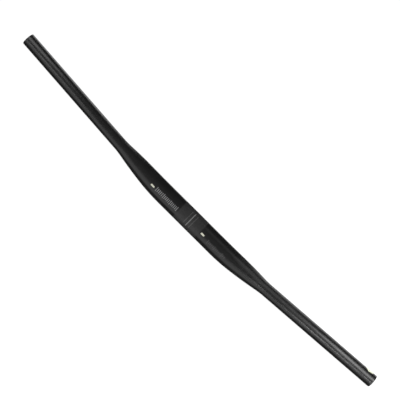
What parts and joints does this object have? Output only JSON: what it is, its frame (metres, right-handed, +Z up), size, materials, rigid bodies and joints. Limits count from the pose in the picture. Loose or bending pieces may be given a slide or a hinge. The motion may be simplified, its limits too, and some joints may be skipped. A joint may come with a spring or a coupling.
{
  "type": "bicycle handlebar",
  "caption": "Flat bicycle handlebar: a hollow black aluminium tube with a thick straight clamp barrel, tapering and sweeping back to slim straight grip ends.",
  "frame": {"origin": "middle of the clamp barrel, on its axis", "axes": "+X along the barrel, +Y to the side that both ends sweep to, +Z up with the bar lying on its barrel and both ends"},
  "size_m": [0.7998, 0.0784, 0.035],
  "materials": {
    "black_anodised": "satin black anodised"
  },
  "bodies": {
    "root": {"handlebar": "black_anodised"}
  },
  "joints": []
}
